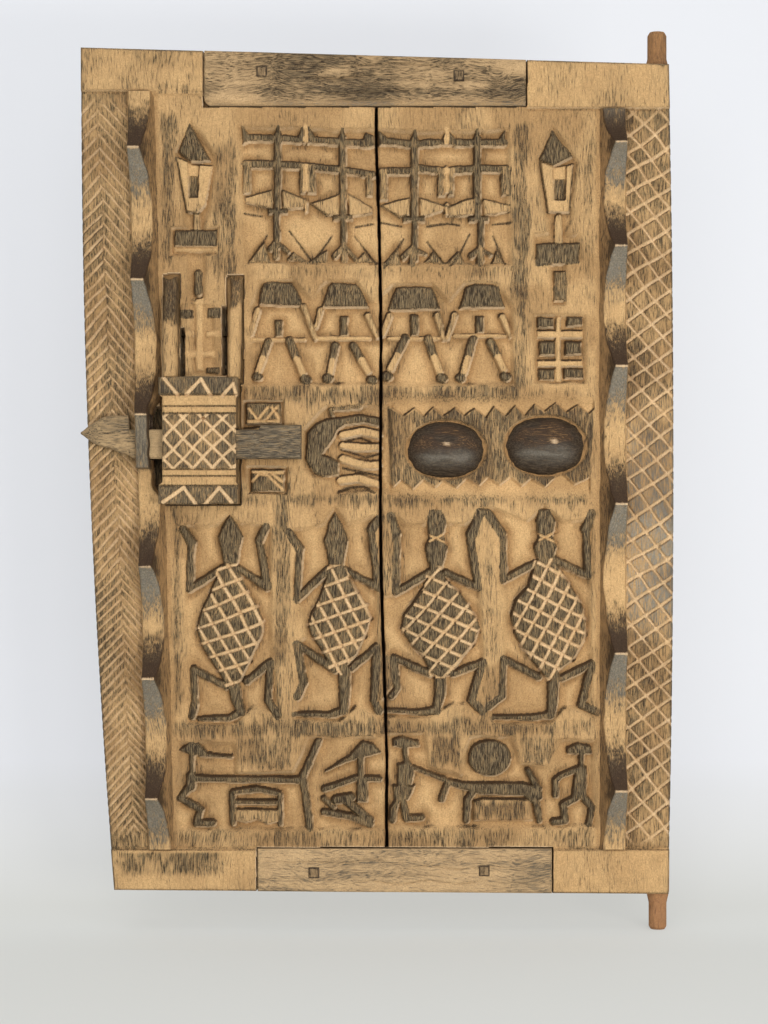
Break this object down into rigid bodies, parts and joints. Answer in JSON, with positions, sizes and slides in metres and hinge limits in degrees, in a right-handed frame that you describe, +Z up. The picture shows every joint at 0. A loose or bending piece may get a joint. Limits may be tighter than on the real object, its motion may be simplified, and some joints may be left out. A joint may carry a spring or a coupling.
{
  "type": "granary door",
  "caption": "Carved wooden granary door of battened planks, with hewn pivots, wavy rims, relief figures and a sliding wooden bolt lock.",
  "frame": {"origin": "on the pivot axis, at the foot of the lower pivot's journal", "axes": "+Z up along the pivot axis, the carved front faces -Y, the free edge with the bolt lies towards -X"},
  "size_m": [0.445, 0.045, 0.6775],
  "materials": {
    "carved_wood": "dry weathered hardwood, tan clay dust in the carving, worn grey-brown on the raised faces",
    "cleat_wood": "weathered, open grain along the batten",
    "bolt_wood": "grey, polished by handling",
    "peg_wood": "dark end grain",
    "pin_iron": "hand-forged, dull brown oxide"
  },
  "bodies": {
    "door": {"left_plank": "carved_wood", "right_plank": "carved_wood", "top_cleat": "cleat_wood", "bottom_cleat": "cleat_wood", "top_cleat_pegs": "peg_wood", "bottom_cleat_pegs": "peg_wood", "lock_case": "carved_wood", "lock_case_pegs": "peg_wood"},
    "bolt": {"lock_bolt": "bolt_wood"},
    "pin_1": {"tumbler_1": "pin_iron"},
    "pin_2": {"tumbler_2": "pin_iron"},
    "pin_3": {"tumbler_3": "pin_iron"}
  },
  "joints": [
    {"name": "bolt_slide", "type": "slide", "parent": "door", "child": "bolt", "axis": [-1, 0, 0], "range_m": [0, 0.016]},
    {"name": "pin_1_lift", "type": "slide", "parent": "door", "child": "pin_1", "axis": [0, 0, 1], "range_m": [0, 0.004]},
    {"name": "pin_2_lift", "type": "slide", "parent": "door", "child": "pin_2", "axis": [0, 0, 1], "range_m": [0, 0.004]},
    {"name": "pin_3_lift", "type": "slide", "parent": "door", "child": "pin_3", "axis": [0, 0, 1], "range_m": [0, 0.004]}
  ]
}
